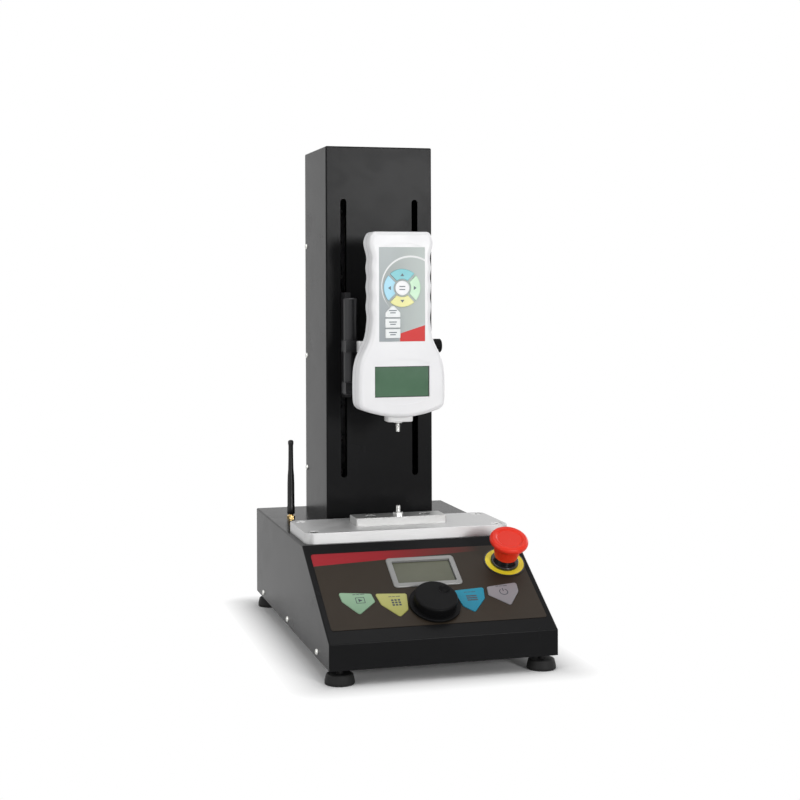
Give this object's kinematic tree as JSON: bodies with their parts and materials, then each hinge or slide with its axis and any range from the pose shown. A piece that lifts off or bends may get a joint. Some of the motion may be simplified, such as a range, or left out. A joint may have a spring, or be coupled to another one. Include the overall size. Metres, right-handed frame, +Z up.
{
  "type": "universal testing machine",
  "caption": "Bench force tester: sheet-metal base with sloping control panel, slotted column, screw-driven crosshead with hand-held force gauge, work plate and levelling feet.",
  "frame": {"origin": "centre of the bounding box at the level where the four feet stand", "axes": "+X to the right seen from the front, -Y towards the operator, +Z up along the column"},
  "size_m": [0.234, 0.396, 0.5325],
  "materials": {
    "black_powder_coat": "fine texture powder coat",
    "tray_coat": "fine texture powder coat",
    "zinc_screw": "bright zinc",
    "frame_steel": "grey primer",
    "anodised_plate": "satin",
    "stainless": "bright",
    "anodised_bar": "satin",
    "panel_print": "matt printed film",
    "bezel_grey": "satin",
    "panel_display": "gloss",
    "legend_yellow": "matt",
    "black_plastic": "gloss",
    "gold_plate": "polished",
    "motor_black": "satin",
    "belt_rubber": "matt",
    "board_green": "solder mask",
    "supply_case": "satin",
    "inlet_black": "matt",
    "socket_metal": "nickel",
    "spine_coat": "fine texture powder coat",
    "rail_steel": "ground",
    "bearing_block": "satin",
    "carriage_black": "black anodised",
    "nut_bronze": "machined",
    "post_black": "black anodised",
    "bracket_black": "satin black",
    "clamp_bar": "satin",
    "gauge_white": "satin moulded",
    "gauge_print": "matt printed film",
    "gauge_lcd": "gloss",
    "cell_white": "satin",
    "screw_steel": "ground",
    "pulley_alloy": "machined",
    "knob_black": "satin",
    "stop_red": "gloss",
    "antenna_black": "matt",
    "rocker_black": "gloss",
    "key_green": "printed film",
    "key_yellow": "printed film",
    "key_blue": "printed film",
    "key_lilac": "printed film",
    "pad_teal": "printed film",
    "pad_green": "printed film",
    "pad_yellow": "printed film",
    "pad_blue": "printed film",
    "pad_white": "printed film",
    "foot_rubber": "matt"
  },
  "bodies": {
    "frame": {"base_cover": "black_powder_coat", "base_tray": "tray_coat", "housing_screws": "zinc_screw", "load_frame": "frame_steel", "work_plate": "anodised_plate", "plate_screws": "stainless", "fixture_bar": "anodised_bar", "lower_stud": "stainless", "control_overlay": "panel_print", "display_bezel": "bezel_grey", "display_module": "panel_display", "estop_legend": "legend_yellow", "estop_collar": "black_plastic", "antenna_connector": "gold_plate", "drive_motor": "motor_black", "drive_belt": "belt_rubber", "control_board": "board_green", "power_supply": "supply_case", "power_inlet": "inlet_black", "data_sockets": "socket_metal", "column_cover": "black_powder_coat", "column_spine": "spine_coat", "guide_rails": "rail_steel", "screw_bearings": "bearing_block"},
    "crosshead": {"carriage": "carriage_black", "rail_blocks": "rail_steel", "screw_nut": "nut_bronze", "guide_posts": "post_black", "gauge_bracket": "bracket_black", "gauge_clamp_bar": "clamp_bar", "gauge_rear_shell": "gauge_white", "gauge_front_shell": "gauge_white", "gauge_overlay": "gauge_print", "gauge_display": "gauge_lcd", "load_cell": "cell_white", "gauge_shaft": "stainless"},
    "drive_screw": {"drive_screw": "screw_steel"},
    "motor_rotor": {"motor_pulley": "pulley_alloy"},
    "jog_knob": {"jog_knob": "knob_black"},
    "estop_plunger": {"estop_plunger": "black_plastic"},
    "estop_head": {"estop_head": "stop_red"},
    "clamp_knob": {"clamp_knob": "knob_black"},
    "antenna_whip": {"antenna_whip": "antenna_black"},
    "power_rocker": {"power_rocker": "rocker_black"},
    "start_key": {"start_key": "key_green"},
    "menu_key": {"menu_key": "key_yellow"},
    "list_key": {"list_key": "key_blue"},
    "standby_key": {"standby_key": "key_lilac"},
    "gauge_key_up": {"gauge_key_up": "pad_teal"},
    "gauge_key_right": {"gauge_key_right": "pad_green"},
    "gauge_key_down": {"gauge_key_down": "pad_yellow"},
    "gauge_key_left": {"gauge_key_left": "pad_blue"},
    "gauge_key_centre": {"gauge_key_centre": "pad_white"},
    "gauge_key_home": {"gauge_key_home": "pad_white"},
    "gauge_key_units": {"gauge_key_units": "pad_white"},
    "gauge_key_zero": {"gauge_key_zero": "pad_white"},
    "foot_front_left": {"foot_front_left": "foot_rubber"},
    "foot_rear_left": {"foot_rear_left": "foot_rubber"},
    "foot_front_right": {"foot_front_right": "foot_rubber"},
    "foot_rear_right": {"foot_rear_right": "foot_rubber"}
  },
  "joints": [
    {"name": "crosshead_travel", "type": "slide", "parent": "frame", "child": "crosshead", "axis": [0, 0, 1], "range_m": [-0.075, 0.1]},
    {"name": "screw_spin", "type": "hinge", "parent": "frame", "child": "drive_screw", "pos_m": [0, 0.0945, 0.2], "axis": [0, 0, 1], "range_deg": [-7300, 5500]},
    {"name": "motor_spin", "type": "hinge", "parent": "frame", "child": "motor_rotor", "pos_m": [0, 0.0185, 0.097], "axis": [0, 0, 1], "range_deg": [-14600, 11000]},
    {"name": "jog_turn", "type": "hinge", "parent": "frame", "child": "jog_knob", "pos_m": [0, -0.1612, 0.06815], "axis": [0, -0.5074, 0.8617], "continuous": true},
    {"name": "estop_press", "type": "slide", "parent": "frame", "child": "estop_plunger", "axis": [0, 0.5074, -0.8617], "range_m": [0, 0.005], "stiffness_N_per_m": 3000},
    {"name": "estop_twist", "type": "hinge", "parent": "estop_plunger", "child": "estop_head", "pos_m": [0.0895, -0.11997, 0.10867], "axis": [0, -0.5074, 0.8617], "range_deg": [-45, 0], "stiffness_Nm_per_rad": 0.1},
    {"name": "clamp_turn", "type": "hinge", "parent": "crosshead", "child": "clamp_knob", "pos_m": [0.0485, -0.0055, 0.312], "axis": [1, 0, 0], "range_deg": [0, 360]},
    {"name": "antenna_turn", "type": "hinge", "parent": "frame", "child": "antenna_whip", "pos_m": [-0.0894, 0.1135, 0.16], "axis": [0, 0, 1], "continuous": true},
    {"name": "rocker_tilt", "type": "hinge", "parent": "frame", "child": "power_rocker", "pos_m": [0.0644, 0.193, 0.07696], "axis": [1, 0, 0], "range_deg": [0, 20]},
    {"name": "start_press", "type": "slide", "parent": "frame", "child": "start_key", "axis": [0, 0.5074, -0.8617], "range_m": [0, 0.0004], "stiffness_N_per_m": 5000},
    {"name": "menu_press", "type": "slide", "parent": "frame", "child": "menu_key", "axis": [0, 0.5074, -0.8617], "range_m": [0, 0.0004], "stiffness_N_per_m": 5000},
    {"name": "list_press", "type": "slide", "parent": "frame", "child": "list_key", "axis": [0, 0.5074, -0.8617], "range_m": [0, 0.0004], "stiffness_N_per_m": 5000},
    {"name": "standby_press", "type": "slide", "parent": "frame", "child": "standby_key", "axis": [0, 0.5074, -0.8617], "range_m": [0, 0.0004], "stiffness_N_per_m": 5000},
    {"name": "gauge_press_up", "type": "slide", "parent": "crosshead", "child": "gauge_key_up", "axis": [0, 1, 0], "range_m": [0, 0.0003], "stiffness_N_per_m": 5000},
    {"name": "gauge_press_right", "type": "slide", "parent": "crosshead", "child": "gauge_key_right", "axis": [0, 1, 0], "range_m": [0, 0.0003], "stiffness_N_per_m": 5000},
    {"name": "gauge_press_down", "type": "slide", "parent": "crosshead", "child": "gauge_key_down", "axis": [0, 1, 0], "range_m": [0, 0.0003], "stiffness_N_per_m": 5000},
    {"name": "gauge_press_left", "type": "slide", "parent": "crosshead", "child": "gauge_key_left", "axis": [0, 1, 0], "range_m": [0, 0.0003], "stiffness_N_per_m": 5000},
    {"name": "gauge_press_centre", "type": "slide", "parent": "crosshead", "child": "gauge_key_centre", "axis": [0, 1, 0], "range_m": [0, 0.0003], "stiffness_N_per_m": 5000},
    {"name": "gauge_press_home", "type": "slide", "parent": "crosshead", "child": "gauge_key_home", "axis": [0, 1, 0], "range_m": [0, 0.0003], "stiffness_N_per_m": 5000},
    {"name": "gauge_press_units", "type": "slide", "parent": "crosshead", "child": "gauge_key_units", "axis": [0, 1, 0], "range_m": [0, 0.0003], "stiffness_N_per_m": 5000},
    {"name": "gauge_press_zero", "type": "slide", "parent": "crosshead", "child": "gauge_key_zero", "axis": [0, 1, 0], "range_m": [0, 0.0003], "stiffness_N_per_m": 5000},
    {"name": "level_front_left", "type": "slide", "parent": "frame", "child": "foot_front_left", "axis": [0, 0, 1], "range_m": [-0.006, 0.003]},
    {"name": "level_rear_left", "type": "slide", "parent": "frame", "child": "foot_rear_left", "axis": [0, 0, 1], "range_m": [-0.006, 0.003]},
    {"name": "level_front_right", "type": "slide", "parent": "frame", "child": "foot_front_right", "axis": [0, 0, 1], "range_m": [-0.006, 0.003]},
    {"name": "level_rear_right", "type": "slide", "parent": "frame", "child": "foot_rear_right", "axis": [0, 0, 1], "range_m": [-0.006, 0.003]}
  ],
  "couplings": [
    {"joint": "screw_spin", "follows": "crosshead_travel", "rad_per_m": -1256.6},
    {"joint": "motor_spin", "follows": "crosshead_travel", "rad_per_m": -2513.3}
  ]
}
